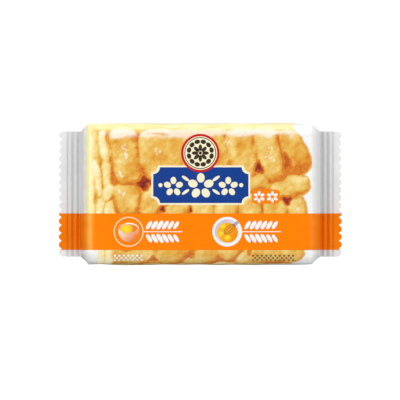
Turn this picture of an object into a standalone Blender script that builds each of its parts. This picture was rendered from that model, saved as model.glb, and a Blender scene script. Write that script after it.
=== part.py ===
"""A flow-wrapped sachima bar, lying on its back with its printed front up.

The shut pack can't be seen into, so it is one solid: a sleeve of film drawn tight round a square-edged
block of food, a gable with tucked corners at each end, a flat crimped seal with a scalloped cut edge
beyond each gable, and a lengthwise fin folded flat against the back.

X runs along the pack from seal to seal, Y runs up the printed front and +Z points out of it.
The origin is on the resting plane, under the middle of the pack.
"""

import math

import bmesh
import bpy

MM = 0.001

# The whole pack.
PACK_LENGTH = 110.0 * MM
PACK_WIDTH = 55.0 * MM
PACK_THICKNESS = 26.0 * MM

# The sleeve round the food.
SLEEVE_LENGTH = 86.8 * MM
EDGE_RADIUS = 4.6 * MM
FRONT_CROWN = 0.7 * MM
SIDE_BULGE = 0.5 * MM

# The gables, where the film comes together at half the pack's thickness.
GABLE_RUN = 3.1 * MM
GABLE_NOSE = 0.8 * MM
GABLE_INSET = 0.4 * MM
TUCK_DEPTH = 3.2 * MM

# The end seals.
SEAL_WIDTH = 48.7 * MM
SEAL_THICKNESS = 0.7 * MM
SEAL_OVERLAP = 0.45 * MM
CRIMP_PITCH = 2.1 * MM
CRIMP_HEIGHT = 0.3 * MM
CUT_MARGIN = 2.6 * MM
SCALLOPS = 16
SCALLOP_DEPTH = 1.2 * MM

# The fin seal down the back.
FIN_START = -1.0 * MM
FIN_WIDTH = 9.0 * MM
FIN_THICKNESS = 0.4 * MM
FIN_EDGE = 0.25 * MM
HOLLOW_REACH = 6.0 * MM
HOLLOW_FADE = 6.0 * MM

# How finely the surfaces are divided.
FRONT_STEPS = 12
CORNER_STEPS = 6
SIDE_STEPS = 4
SLEEVE_STEPS = 10
GABLE_STEPS = 10
CRIMP_STEPS = 8
SCALLOP_STEPS = 6

MIDDLE = PACK_THICKNESS / 2
SLEEVE_HALF = SLEEVE_LENGTH / 2
SEAL_ROOT = SLEEVE_HALF + GABLE_RUN
PACK_HALF = PACK_LENGTH / 2
SEAL_HALF = SEAL_WIDTH / 2
FRONT_RISE = PACK_THICKNESS - FRONT_CROWN - MIDDLE


def clear_scene():
    """Remove every object, so that only the pack is left."""
    for obj in list(bpy.data.objects):
        bpy.data.objects.remove(obj, do_unlink=True)


def make_material():
    """The white film of the pack."""
    material = bpy.data.materials.new("white_film")
    material.use_nodes = True
    shader = material.node_tree.nodes["Principled BSDF"]
    shader.inputs["Base Color"].default_value = (0.88, 0.88, 0.87, 1.0)
    shader.inputs["Roughness"].default_value = 0.3
    shader.inputs["Metallic"].default_value = 0.0
    return material


def object_from(bm, name):
    """Turn a finished bmesh into a linked object."""
    bmesh.ops.recalc_face_normals(bm, faces=bm.faces)
    mesh = bpy.data.meshes.new(name)
    bm.to_mesh(mesh)
    bm.free()
    obj = bpy.data.objects.new(name, mesh)
    bpy.context.scene.collection.objects.link(obj)
    return obj


def gable_share(x):
    """How far along a gable x lies: 0 at the sleeve, 1 at the root of the seal."""
    return min(1.0, max(0.0, (abs(x) - SLEEVE_HALF) / GABLE_RUN))


def thickness_share(x):
    """The share of the sleeve's thickness that is left at x, as the film rounds over the end of the food."""
    share = gable_share(x)
    return max(0.0, 1.0 - share**3.4) ** 0.62


def half_width(x):
    """Half the width at x, with the gable's corners cut at about 45 degrees."""
    return PACK_WIDTH / 2 - (PACK_WIDTH / 2 - SEAL_HALF + GABLE_INSET) * gable_share(x)


def tuck(x):
    """How far the narrow wall folds in at x: most at a third of the gable, and nothing at its two ends."""
    share = gable_share(x)
    return TUCK_DEPTH * 6.75 * share * (1 - share) ** 2


def back_stations(half_flat):
    """Places across the back, closer together at the two edges of the fin."""
    fin_end = FIN_START + FIN_WIDTH
    inner = [
        FIN_START - HOLLOW_REACH - HOLLOW_FADE,
        FIN_START - HOLLOW_REACH,
        FIN_START - FIN_EDGE,
        FIN_START,
        FIN_START + FIN_WIDTH / 2,
        fin_end,
        fin_end + FIN_EDGE,
        fin_end + HOLLOW_REACH,
        fin_end + HOLLOW_REACH + HOLLOW_FADE,
    ]
    return [half_flat] + inner[::-1] + [-half_flat]


def back_hollow(y):
    """How far the back lies above the resting plane at y: level at the fin and far from it."""
    fin_middle = FIN_START + FIN_WIDTH / 2
    beyond = abs(y - fin_middle) - FIN_WIDTH / 2
    if beyond < FIN_EDGE * 0.5:
        return 0.0
    return FIN_THICKNESS * min(1.0, max(0.0, 1.0 - (beyond - HOLLOW_REACH) / HOLLOW_FADE))


def section(x):
    """The closed outline of the sleeve at x, as (y, z) points that run once round it."""
    left = thickness_share(x)
    width = half_width(x)
    front = max(GABLE_NOSE, FRONT_RISE * left)
    back = max(GABLE_NOSE, MIDDLE * left)
    crown = FRONT_CROWN * left
    bulge = SIDE_BULGE * left
    radius_y = min(EDGE_RADIUS, EDGE_RADIUS * left + GABLE_NOSE)
    front_radius = min(EDGE_RADIUS, front * 0.7)
    back_radius = min(EDGE_RADIUS, back * 0.7)
    flat = width - bulge - radius_y
    points = []
    for step in range(FRONT_STEPS + 1):
        y = flat * (2 * step / FRONT_STEPS - 1)
        points.append((y, MIDDLE + front + crown * (1 - (y / width) ** 2)))
    edge_z = points[-1][1]
    for step in range(1, CORNER_STEPS):
        angle = 0.5 * math.pi * step / CORNER_STEPS
        points.append((flat + radius_y * math.sin(angle), edge_z - front_radius * (1 - math.cos(angle))))
    top = edge_z - front_radius
    bottom = MIDDLE - back + back_radius
    for step in range(SIDE_STEPS + 1):
        along = step / SIDE_STEPS
        fold = 1 - abs(2 * along - 1)
        y = flat + radius_y + bulge * math.sin(math.pi * along) - tuck(x) * fold
        points.append((y, top + (bottom - top) * along))
    for step in range(CORNER_STEPS - 1, 0, -1):
        angle = 0.5 * math.pi * step / CORNER_STEPS
        points.append((flat + radius_y * math.sin(angle), bottom - back_radius * math.cos(angle)))
    for y in back_stations(flat):
        points.append((y, MIDDLE - back + back_hollow(y) * left))
    side = [point for point in points[FRONT_STEPS + 1 :] if point[0] > flat]
    points += [(-y, z) for y, z in reversed(side)]
    return points


def sleeve_stations():
    """Places along the sleeve, closer together on the gables."""
    gable = [SLEEVE_HALF + GABLE_RUN * math.sin(0.5 * math.pi * k / GABLE_STEPS) for k in range(1, GABLE_STEPS + 1)]
    body = [SLEEVE_HALF * (2 * k / SLEEVE_STEPS - 1) for k in range(SLEEVE_STEPS + 1)]
    return [-x for x in reversed(gable)] + body + gable


def make_sleeve():
    """The film round the food, with a gable at each end."""
    bm = bmesh.new()
    rings = []
    for x in sleeve_stations():
        rings.append([bm.verts.new((x, y, z)) for y, z in section(x)])
    for ring, following in zip(rings, rings[1:]):
        count = len(ring)
        for k in range(count):
            nearby = (k + 1) % count
            bm.faces.new((ring[k], ring[nearby], following[nearby], following[k]))
    bm.faces.new(rings[0])
    bm.faces.new(reversed(rings[-1]))
    return object_from(bm, "sachima_pack")


def crimp_line(lift):
    """The height of a seal's middle surface along X, raised by lift: waves near the gable, flat at the cut edge."""
    start = SEAL_ROOT - SEAL_OVERLAP
    wave_end = PACK_HALF - CUT_MARGIN
    steps = round((wave_end - start) / CRIMP_PITCH * CRIMP_STEPS)
    line = []
    for k in range(steps + 1):
        x = start + (wave_end - start) * k / steps
        fade = min(1.0, (wave_end - x) / (0.5 * CRIMP_PITCH))
        wave = math.cos(2 * math.pi * (x - wave_end) / CRIMP_PITCH)
        line.append((x, MIDDLE + lift + CRIMP_HEIGHT * wave * fade))
    line.append((PACK_HALF, MIDDLE + lift))
    return line


def ribbon(name, side, lower, upper, y_low, y_high):
    """A plate between two heights of the crimped surface, on the seal at one end."""
    outline = crimp_line(upper) + crimp_line(lower)[::-1]
    bm = bmesh.new()
    near = [bm.verts.new((side * x, y_low, z)) for x, z in outline]
    far = [bm.verts.new((side * x, y_high, z)) for x, z in outline]
    count = len(outline)
    for k in range(count):
        nearby = (k + 1) % count
        bm.faces.new((near[k], near[nearby], far[nearby], far[k]))
    bm.faces.new(near)
    bm.faces.new(reversed(far))
    return object_from(bm, name)


def make_scallop_cutter(side):
    """Everything beyond a seal's scalloped cut edge, as a prism."""
    pitch = SEAL_WIDTH / SCALLOPS
    outside = PACK_HALF + 2 * SCALLOP_DEPTH
    edge = [(outside, -SEAL_WIDTH), (PACK_HALF - SCALLOP_DEPTH, -SEAL_WIDTH)]
    for lobe in range(SCALLOPS):
        for step in range(SCALLOP_STEPS):
            across = step / SCALLOP_STEPS
            depth = SCALLOP_DEPTH * (1 - math.sin(math.pi * across) ** 0.7)
            edge.append((PACK_HALF - depth, -SEAL_HALF + pitch * (lobe + across)))
    edge += [(PACK_HALF - SCALLOP_DEPTH, SEAL_HALF), (PACK_HALF - SCALLOP_DEPTH, SEAL_WIDTH)]
    edge.append((outside, SEAL_WIDTH))
    reach = 4 * SEAL_THICKNESS
    bm = bmesh.new()
    low = [bm.verts.new((side * x, y, MIDDLE - reach)) for x, y in edge]
    high = [bm.verts.new((side * x, y, MIDDLE + reach)) for x, y in edge]
    count = len(edge)
    for k in range(count):
        nearby = (k + 1) % count
        bm.faces.new((low[k], low[nearby], high[nearby], high[k]))
    bm.faces.new(low)
    bm.faces.new(reversed(high))
    return object_from(bm, "scallop_cutter")


def apply_boolean(target, tool, operation):
    """Join a tool to the target, or cut it out, and remove the tool."""
    modifier = target.modifiers.new(operation.lower(), "BOOLEAN")
    modifier.operation = operation
    modifier.solver = "EXACT"
    modifier.object = tool
    graph = bpy.context.evaluated_depsgraph_get()
    mesh = bpy.data.meshes.new_from_object(target.evaluated_get(graph))
    target.modifiers.clear()
    target.data = mesh
    bpy.data.objects.remove(tool, do_unlink=True)


def make_seal(side):
    """A crimped end seal with the fin pressed into its back and its scalloped edge cut."""
    half = SEAL_THICKNESS / 2
    seal = ribbon("seal", side, -half, half, -SEAL_HALF, SEAL_HALF)
    fin = ribbon("fin", side, -half - FIN_THICKNESS / 2, 0.0, FIN_START, FIN_START + FIN_WIDTH)
    apply_boolean(seal, fin, "UNION")
    apply_boolean(seal, make_scallop_cutter(side), "DIFFERENCE")
    return seal


def main():
    """Build the pack."""
    clear_scene()
    pack = make_sleeve()
    for side in (-1, 1):
        apply_boolean(pack, make_seal(side), "UNION")
    pack.data.name = "sachima_pack"
    pack.data.materials.clear()
    pack.data.materials.append(make_material())
    pack.data.shade_smooth()
    pack.data.set_sharp_from_angle(angle=math.radians(35))


main()
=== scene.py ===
"""Dress the shut sachima pack: white laminated film drawn round a square bar, printed on its front.

The film, the folded fin on its back and every field of print are pieces of their own. They all lie on
one set of surface formulas, PackForm, which repeats the solid's sizes.
"""

import logging
import math
from collections.abc import Callable, Sequence
from dataclasses import dataclass, field, replace
from enum import Enum

import bpy
import numpy as np
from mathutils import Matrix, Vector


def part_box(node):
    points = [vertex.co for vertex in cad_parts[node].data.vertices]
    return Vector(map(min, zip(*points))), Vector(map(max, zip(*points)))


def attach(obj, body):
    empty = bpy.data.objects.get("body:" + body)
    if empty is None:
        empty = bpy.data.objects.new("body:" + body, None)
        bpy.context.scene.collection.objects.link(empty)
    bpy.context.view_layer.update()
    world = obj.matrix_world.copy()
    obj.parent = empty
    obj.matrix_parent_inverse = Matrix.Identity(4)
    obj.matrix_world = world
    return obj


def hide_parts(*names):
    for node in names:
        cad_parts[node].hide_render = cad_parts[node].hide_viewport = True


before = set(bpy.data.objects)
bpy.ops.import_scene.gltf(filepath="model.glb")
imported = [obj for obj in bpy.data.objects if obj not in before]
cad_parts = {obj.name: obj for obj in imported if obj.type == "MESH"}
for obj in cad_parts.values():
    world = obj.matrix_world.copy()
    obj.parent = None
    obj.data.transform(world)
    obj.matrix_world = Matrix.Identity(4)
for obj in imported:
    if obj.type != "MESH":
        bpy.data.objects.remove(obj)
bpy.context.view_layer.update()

LOG = logging.getLogger("sachima_pack")

MM = 0.001
FULL_TURN = 2 * math.pi
QUARTER_TURN = 0.5 * math.pi
ROUNDING = 0.25
WALL = 1 - 2 * ROUNDING
NODE = "sachima_pack"
BODY = "root"
BAKE_MAP = "OFBake"

Array = np.ndarray
Fields = dict[str, Array]
Colour = tuple[int, int, int]
Pair = tuple[float, float]
Noise = tuple[tuple[float, float, int], ...]
Piece = bpy.types.Object
Socket = bpy.types.NodeSocket


class Slot(Enum):
    """The record's material slots."""

    FILM = "white_film"
    ORANGE = "orange_print"
    GOLDEN = "golden_print"
    BLUE = "blue_print"
    CREAM = "cream_print"
    RED = "red_print"
    WHITE = "white_print"


class Layer(Enum):
    """How far each layer of print stands off the film, in metres."""

    PICTURE = 0.04 * MM
    FIELD = 0.08 * MM
    SHAPE = 0.11 * MM
    DETAIL = 0.14 * MM
    TOP = 0.17 * MM
    FINEST = 0.20 * MM


def linear(colour: Colour) -> tuple[float, float, float, float]:
    """Turn a display colour into the linear one that a shader reads.

    Args:
        colour: Red, green and blue from 0 to 255.

    Returns:
        Linear red, green, blue and an alpha of one.
    """
    values = []
    for channel in colour:
        share = channel / 255
        values.append(share / 12.92 if share <= 0.04045 else ((share + 0.055) / 1.055) ** 2.4)
    return (values[0], values[1], values[2], 1.0)


def smooth_step(value: Array, low: float, high: float) -> Array:
    """Rise smoothly from 0 to 1 while a value goes from low to high."""
    share = np.clip((value - low) / (high - low), 0.0, 1.0)
    return share * share * (3.0 - 2.0 * share)


def joined(x: Array, y: Array, z: Array) -> Array:
    """Join coordinates, of shapes that broadcast, into one array of places."""
    return np.stack(np.broadcast_arrays(x, y, z), axis=-1)


@dataclass(frozen=True)
class PackForm:
    """The pack's outer surface as formulas. Lengths are in metres.

    X runs along the pack, Y up the printed front, and Z out of it. S is a place across the pack, measured
    along the film from the middle of the front. All methods take and give arrays.
    """

    length: float
    width: float
    thickness: float
    sleeve_length: float = 86.8 * MM
    edge_radius: float = 4.6 * MM
    rounding_limit: float = 0.7
    front_crown: float = 0.7 * MM
    side_bulge: float = 0.5 * MM
    gable_run: float = 3.1 * MM
    gable_ease: float = 2.4 * MM
    gable_fall: float = 3.0
    gable_curve: float = 0.60
    tuck_depth: float = 3.2 * MM
    pinch_depth: float = 1.0 * MM
    pinch_reach: float = 9.0 * MM
    seal_width: float = 48.7 * MM
    seal_thickness: float = 0.44 * MM
    seal_corner: float = 0.15 * MM
    crimp_pitch: float = 2.1 * MM
    crimp_height: float = 0.17 * MM
    crimp_rise: Pair = (-0.2 * MM, 0.6 * MM)
    fine_height: float = 0.025 * MM
    wave_height: float = 0.22 * MM
    wave_sizes: Pair = (31 * MM, 13 * MM)
    cut_margin: float = 2.6 * MM
    scallops: int = 16
    scallop_depth: float = 1.2 * MM
    scallop_roundness: float = 0.7
    fin_start: float = -1.0 * MM
    fin_width: float = 9.0 * MM
    fin_thickness: float = 0.4 * MM
    hollow_reach: float = 6.0 * MM
    relief: float = 0.055 * MM
    relief_waves: int = 12
    relief_sizes: Pair = (11, 24)
    relief_margin: float = 4 * MM
    ripple: float = 0.10 * MM
    ripple_waves: int = 7
    ripple_sizes: Pair = (3.2, 8.5)
    ripple_slant: float = 0.12
    ripple_reach: float = 11.0 * MM
    side_gain: float = 1.2
    phases: float = 6.3
    seed: int = 11

    @property
    def middle(self) -> float:
        """Height of the seals."""
        return self.thickness / 2

    @property
    def sleeve_half(self) -> float:
        """Half the sleeve's length."""
        return self.sleeve_length / 2

    @property
    def seal_root(self) -> float:
        """Where the gables meet the seals."""
        return self.sleeve_half + self.gable_run

    @property
    def half_length(self) -> float:
        """Half the pack's length."""
        return self.length / 2

    @property
    def wave_end(self) -> float:
        """Where the crimp ridges stop, short of the cut edge."""
        return self.half_length - self.cut_margin

    @property
    def seal_flat(self) -> float:
        """Half the seal's flat width."""
        return self.seal_width / 2 - self.seal_corner

    @property
    def wall_height(self) -> float:
        """Height of the sleeve's narrow wall between its roundings."""
        return self.thickness - self.front_crown - 2 * self.edge_radius

    def gable_share(self, x: Array) -> Array:
        """How far along a gable x lies, from 0 at the sleeve to 1 at the seal."""
        return np.clip((np.abs(x) - self.sleeve_half) / self.gable_run, 0.0, 1.0)

    def left(self, x: Array) -> Array:
        """The share of the sleeve's thickness that is left.

        Args:
            x: Places along the pack.

        Returns:
            1 on the sleeve, falling to 0 at the seals.
        """
        beyond = np.abs(x) - self.sleeve_half + self.gable_ease
        share = np.clip(beyond / (self.gable_run + self.gable_ease), 0.0, 1.0)
        return np.maximum(0.0, 1.0 - share**self.gable_fall) ** self.gable_curve

    def half_width(self, x: Array) -> Array:
        """Half the pack's width at x."""
        return self.width / 2 - (self.width - self.seal_width) / 2 * self.gable_share(x)

    def corner_run(self, x: Array) -> Array:
        """How far across the long edges' rounding reaches at x."""
        return np.minimum(self.edge_radius, self.edge_radius * self.left(x) + self.seal_corner)

    def flat(self, x: Array) -> Array:
        """Half the width of the front's nearly flat part at x."""
        return self.half_width(x) - self.side_bulge * self.left(x) - self.corner_run(x)

    def tuck(self, x: Array) -> Array:
        """How far the narrow wall folds in, on the gable and just before it.

        Args:
            x: Places along the pack.

        Returns:
            The fold's depth, with its full depth a third of the way along the gable.
        """
        share = self.gable_share(x)
        before = smooth_step(np.abs(x), self.sleeve_half - self.pinch_reach, self.sleeve_half)
        fold = self.tuck_depth * 6.75 * share * (1 - share) ** 2
        return fold + self.pinch_depth * before**2 * (1 - share) ** 2

    def crimp(self, x: Array) -> Array:
        """Height of the seals' ridges.

        Args:
            x: Places along the pack.

        Returns:
            How far the seal lies above its mean height: broad ridges with fine ones on them.
        """
        inward = self.wave_end - np.abs(x)
        low, high = self.crimp_rise
        rise = smooth_step(np.abs(x), self.seal_root + low, self.seal_root + high)
        fade = np.clip(inward / (0.5 * self.crimp_pitch), 0.0, 1.0)
        wave = np.cos(FULL_TURN * inward / self.crimp_pitch)
        fine = np.cos(3 * FULL_TURN * inward / self.crimp_pitch)
        return (self.crimp_height * wave + self.fine_height * fine) * rise * fade

    def seal_wave(self, x: Array, y: Array) -> Array:
        """Slow waves of the seals, most at their cut edges.

        Args:
            x: Places along the pack.
            y: Places across it.

        Returns:
            How far the seal is bent up.
        """
        out = smooth_step(np.abs(x), self.seal_root, self.half_length)
        turn = np.where(x > 0, 1.3, 4.1)
        slow, quick = (FULL_TURN * y / size for size in self.wave_sizes)
        return self.wave_height * out * (np.sin(slow + turn) + 0.5 * np.sin(quick - turn))

    def end_x(self, x: Array, y: Array) -> Array:
        """Move x in by the scallops of the cut edge.

        Args:
            x: Places along the pack, with straight cut edges.
            y: Places across it.

        Returns:
            Places along the pack, with scalloped cut edges.
        """
        lobe = (y + self.seal_flat) / (2 * self.seal_flat) * self.scallops
        depth = self.scallop_depth * (1 - np.abs(np.sin(math.pi * lobe)) ** self.scallop_roundness)
        share = np.clip((np.abs(x) - self.wave_end) / self.cut_margin, 0.0, 1.0)
        return x - np.sign(x) * depth * share**2

    def bumps(self, x: Array, s: Array) -> Array:
        """Low relief of the film over the uneven bar, and ripples near the gables.

        Args:
            x: Places along the pack.
            s: Places across it, along the film.

        Returns:
            How far the film stands out.
        """
        rng = np.random.default_rng(self.seed)
        lumps = np.zeros(np.broadcast(x, s).shape)
        for _ in range(self.relief_waves):
            turn, size = rng.uniform(0, math.pi), rng.uniform(*self.relief_sizes) * MM
            phase = rng.uniform(0, self.phases)
            along = x * math.cos(turn) + s * math.sin(turn)
            lumps = lumps + np.cos(FULL_TURN * along / size + phase) / 2.5
        ripples = np.zeros(np.broadcast(x, s).shape)
        for _ in range(self.ripple_waves):
            size, phase = rng.uniform(*self.ripple_sizes) * MM, rng.uniform(0, self.phases)
            across = s + rng.uniform(-self.ripple_slant, self.ripple_slant) * np.abs(x)
            ripples = ripples + np.cos(FULL_TURN * across / size + phase + np.sign(x)) / 2.6
        start, end = self.sleeve_half - self.ripple_reach, self.sleeve_half + self.gable_run / 2
        inside = 1 - smooth_step(np.abs(x), self.sleeve_half - self.relief_margin, self.sleeve_half)
        near = smooth_step(np.abs(x), start, end)
        gone = 1 - smooth_step(np.abs(x), self.sleeve_half + self.gable_run * 0.7, self.seal_root)
        return self.relief * lumps * inside + self.ripple * ripples * near**2 * gone

    def front(self, x: Array, y: Array) -> Array:
        """Height of the printed front, without its low relief.

        Args:
            x: Places along the pack.
            y: Places across it.

        Returns:
            Heights above the table.
        """
        rise = np.maximum(self.seal_thickness / 2, (self.middle - self.front_crown) * self.left(x))
        crown = self.front_crown * self.left(x) * (1 - (y / self.half_width(x)) ** 2)
        return self.middle + rise + crown + self.crimp(x) + self.seal_wave(x, y)

    def hollow(self, y: Array) -> Array:
        """How far the back lies above the table at y, round the fin."""
        beyond = np.abs(y - self.fin_start - self.fin_width / 2) - self.fin_width / 2
        return self.fin_thickness * (1 - smooth_step(beyond, self.hollow_reach, 2 * self.hollow_reach))

    def back(self, x: Array, y: Array) -> Array:
        """Height of the back at x and y."""
        drop = np.maximum(self.seal_thickness / 2, self.middle * self.left(x))
        return self.middle - drop + self.hollow(y) * self.left(x) + self.crimp(x) + self.seal_wave(x, y)

    def facing(self, height: Callable[[Array, Array], Array], x: Array, y: Array) -> tuple[Array, Array]:
        """Which way the front or the back faces, seen from the side.

        Args:
            height: The surface's own method.
            x: Places along the pack.
            y: Places across it.

        Returns:
            The X and Z parts of its direction, with Z above 0.
        """
        reach = 0.01 * MM
        slope = (height(x + reach, y) - height(x - reach, y)) / (2 * reach)
        size = np.hypot(slope, 1.0)
        return -slope / size, 1.0 / size

    def on_front(self, x: Array, y: Array, lift: Array | float) -> Array:
        """Places on the printed front from seal to seal.

        Args:
            x: Places along the pack.
            y: Places across it.
            lift: How far straight off the film, beyond its relief.

        Returns:
            An array of X, Y and Z.
        """
        face_x, face_z = self.facing(self.front, x, y)
        out = self.bumps(x, y) + lift
        return joined(x + face_x * out, y, self.front(x, y) + face_z * out)

    def on_side(self, x: Array, t: Array, way: Array | float, lift: Array | float) -> Array:
        """Places on the narrow sides: over the upper rounding, down the wall, under the lower rounding.

        Args:
            x: Places along the pack.
            t: 0 at the front's edge, 1 at the back's.
            way: 1 for the side at +Y, -1 for the one at -Y.
            lift: How far off the film.

        Returns:
            An array of X, Y and Z.
        """
        flat, run, left = self.flat(x), self.corner_run(x), self.left(x)
        top, bottom = self.front(x, way * flat), self.back(x, way * flat)
        level = self.middle + self.crimp(x) + self.seal_wave(x, way * flat)
        high = np.minimum(self.edge_radius, (top - level) * self.rounding_limit)
        low = np.minimum(self.edge_radius, (level - bottom) * self.rounding_limit)
        upper = QUARTER_TURN * np.clip(t / ROUNDING, 0.0, 1.0)
        lower = QUARTER_TURN * np.clip((1.0 - t) / ROUNDING, 0.0, 1.0)
        outward = np.sin(np.minimum(upper, lower))
        along = np.clip((t - ROUNDING) / WALL, 0.0, 1.0)
        fold = self.tuck(x) * (1 - np.abs(2 * along - 1))
        y = flat + run * outward + self.side_bulge * left * np.sin(math.pi * along) - fold
        z = top - high * (1 - np.cos(upper)) - (top - high - bottom - low) * along - low * np.cos(lower)
        reach = self.flat(0.0) + self.edge_radius * (upper + QUARTER_TURN - lower) + self.wall_height * along
        gain = (1 + self.side_gain * smooth_step(t, 0.0, ROUNDING)) * (1 - smooth_step(t, 1 - ROUNDING, 1.0))
        out = self.bumps(x, way * reach) * gain + lift
        return joined(x, way * (y + out * outward), z + out * (np.cos(upper) - np.cos(lower)))

    def over(self, x: Array, s: Array, lift: Array | float) -> Array:
        """Places on the sleeve's front and narrow sides.

        Args:
            x: Places along the pack.
            s: Places across it, along the film.
            lift: How far off the film.

        Returns:
            An array of X, Y and Z.
        """
        x, s, lift = np.broadcast_arrays(x, s, lift)
        flat, arc = self.flat(x), QUARTER_TURN * self.edge_radius
        beyond = np.maximum(np.abs(s) - flat, 0.0)
        down = np.maximum(beyond - arc, 0.0) / self.wall_height
        t = ROUNDING * np.minimum(beyond / arc, 1.0) + WALL * down
        side = self.on_side(x, t, np.where(s < 0, -1.0, 1.0), lift)
        return np.where((beyond > 0)[..., None], side, self.on_front(x, np.clip(s, -flat, flat), lift))

    def press_and_shade(self, x: Array) -> Array:
        """How grey the pressed film looks, with painted shade: darker in the crimp valleys, deeper towards
        the seal roots and partly down the gables.

        Args:
            x: Places along the pack.

        Returns:
            0 on the sleeve and at the cut edges, most in the valleys of the seals.
        """
        inward = self.wave_end - np.abs(x)
        rise = smooth_step(np.abs(x), self.sleeve_half + 0.2 * self.gable_run, self.seal_root + 0.4 * MM)
        # Painted shade: the crimp valleys are darker, and more so towards the seal roots.
        valley = 0.5 - 0.5 * np.cos(FULL_TURN * inward / self.crimp_pitch)
        deepening = 0.53 + 0.34 * np.clip(inward / (self.wave_end - self.seal_root), 0.0, 1.0)
        inside = np.clip(inward / (0.5 * self.crimp_pitch), 0.0, 1.0)
        return rise * inside * deepening * (0.45 + 0.4 * valley)


def new_mesh(name: str, places: Array, faces: Sequence[Sequence[int]], sharp: float = 40.0) -> Piece:
    """Make a linked, smooth-shaded mesh object.

    Args:
        name: The piece's name.
        places: Vertices, one a row.
        faces: Vertex numbers of each face.
        sharp: Edges that turn by more degrees than this stay sharp.

    Returns:
        The new object.
    """
    mesh = bpy.data.meshes.new(name)
    mesh.from_pydata(np.asarray(places).reshape(-1, 3).tolist(), [], [list(face) for face in faces])
    mesh.update()
    mesh.shade_smooth()
    mesh.set_sharp_from_angle(angle=math.radians(sharp))
    piece = bpy.data.objects.new(name, mesh)
    bpy.context.scene.collection.objects.link(piece)
    return piece


def grid_faces(rows: int, columns: int, wrap: bool = False) -> Array:
    """Faces of a grid of vertices.

    Args:
        rows: How many rows of vertices it has.
        columns: How many vertices a row has.
        wrap: Whether the last column meets the first.

    Returns:
        Four vertex numbers a row.
    """
    numbers = np.arange(rows * columns).reshape(rows, columns)
    across = np.roll(numbers, -1, axis=1) if wrap else numbers[:, 1:]
    here = numbers if wrap else numbers[:, :-1]
    return np.stack([here[:-1], here[1:], across[1:], across[:-1]], axis=-1).reshape(-1, 4)


def tube_faces(rows: int, columns: int, caps: Sequence[Sequence[int]]) -> list[list[int]]:
    """Faces of a tube that is closed at both ends.

    Args:
        rows: How many rings of vertices it has.
        columns: How many vertices a ring has.
        caps: The first end's faces. The last end has the same ones, turned round.

    Returns:
        Vertex numbers of each face.
    """
    last = (rows - 1) * columns
    faces = grid_faces(rows, columns, wrap=True)[:, ::-1].tolist()
    faces.extend(list(cap) for cap in caps)
    faces.extend([last + number for number in reversed(cap)] for cap in caps)
    return faces


def add_grid_map(piece: Piece, rows: int, columns: int) -> None:
    """Lay a grid's faces out flat, so that maps baked for it stay sharp.

    Args:
        piece: A piece whose vertices are a full grid, row by row.
        rows: How many rows of vertices it has.
        columns: How many vertices a row has.
    """
    mesh = piece.data
    corners = np.empty(len(mesh.loops), dtype=np.int32)
    mesh.loops.foreach_get("vertex_index", corners)
    across = (corners % columns) / (columns - 1)
    along = (corners // columns) / (rows - 1)
    layer = mesh.uv_layers.new(name=BAKE_MAP)
    layer.uv.foreach_set("vector", np.stack([along, across], axis=-1).astype(np.float32).ravel())


def add_values(piece: Piece, name: str, values: Array) -> None:
    """Keep one number a vertex on a piece, for its material to read."""
    kept = piece.data.attributes.new(name, "FLOAT", "POINT")
    kept.data.foreach_set("value", values.astype(np.float32).ravel())


class Graph:
    """The node tree of a material or a world, with short calls to fill it."""

    def __init__(self, owner: bpy.types.Material | bpy.types.World) -> None:
        """Open the tree of a material with a Principled shader, or of a world with a Background.

        Args:
            owner: The material or the world.
        """
        owner.use_nodes = True
        self.tree = owner.node_tree
        self.shader = self.tree.nodes.get("Principled BSDF") or self.tree.nodes["Background"]

    def node(self, kind: str, **settings: object) -> bpy.types.Node:
        """Add a node.

        Args:
            kind: The node's type.
            settings: Its properties.

        Returns:
            The node.
        """
        made = self.tree.nodes.new(kind)
        for key, value in settings.items():
            setattr(made, key, value)
        return made

    def feed(self, socket: Socket, source: object) -> None:
        """Link a source into a socket, or set the socket to a value.

        Args:
            socket: An input.
            source: Another node's output, or a value.
        """
        if isinstance(source, Socket):
            self.tree.links.new(source, socket)
        else:
            socket.default_value = source

    def fill(self, node: bpy.types.Node, **sources: object) -> bpy.types.Node:
        """Feed several inputs of a node.

        Args:
            node: The node.
            sources: What each input gets, by its name, with _ for each blank.

        Returns:
            The same node.
        """
        for name, source in sources.items():
            self.feed(node.inputs[name.replace("_", " ")], source)
        return node

    def maths(self, operation: str, *sources: object, clamp: bool = False) -> Socket:
        """Work out a number from up to three others.

        Args:
            operation: The Math node's operation.
            sources: Sockets or numbers.
            clamp: Whether to keep the result from 0 to 1.

        Returns:
            The result's socket.
        """
        made = self.node("ShaderNodeMath", operation=operation, use_clamp=clamp)
        for socket, source in zip(made.inputs, sources):
            self.feed(socket, source)
        return made.outputs[0]

    def mix(self, share: object, first: object, second: object) -> Socket:
        """Mix two colours by a share."""
        made = self.node("ShaderNodeMix", data_type="RGBA")
        return self.fill(made, Factor=share, A=first, B=second).outputs["Result"]

    def noise(self, size: float, detail: float = 2.0, roughness: float = 0.5) -> Socket:
        """Noise of a real size.

        Args:
            size: About how wide its blots are, in metres.
            detail: How many finer layers it holds.
            roughness: How strong those are.

        Returns:
            A number round 0.5.
        """
        place = self.node("ShaderNodeTexCoord").outputs["Object"]
        made = self.node("ShaderNodeTexNoise")
        self.fill(made, Vector=place, Scale=1.0 / size, Detail=detail, Roughness=roughness)
        return made.outputs["Fac"]

    def value(self, name: str) -> Socket:
        """A number that the piece keeps at each vertex."""
        return self.node("ShaderNodeAttribute", attribute_name=name).outputs["Fac"]

    def ramp(self, source: Socket, stops: Sequence[tuple[float, Colour]]) -> Socket:
        """Turn a number into a colour.

        Args:
            source: The number.
            stops: Places from 0 to 1, each with its colour.

        Returns:
            The colour's socket.
        """
        made = self.node("ShaderNodeValToRGB")
        elements = made.color_ramp.elements
        while len(elements) < len(stops):
            elements.new(1.0)
        for element, (at, colour) in zip(elements, stops):
            element.position = at
            element.color = linear(colour)
        return self.fill(made, Fac=source).outputs["Color"]


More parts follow.
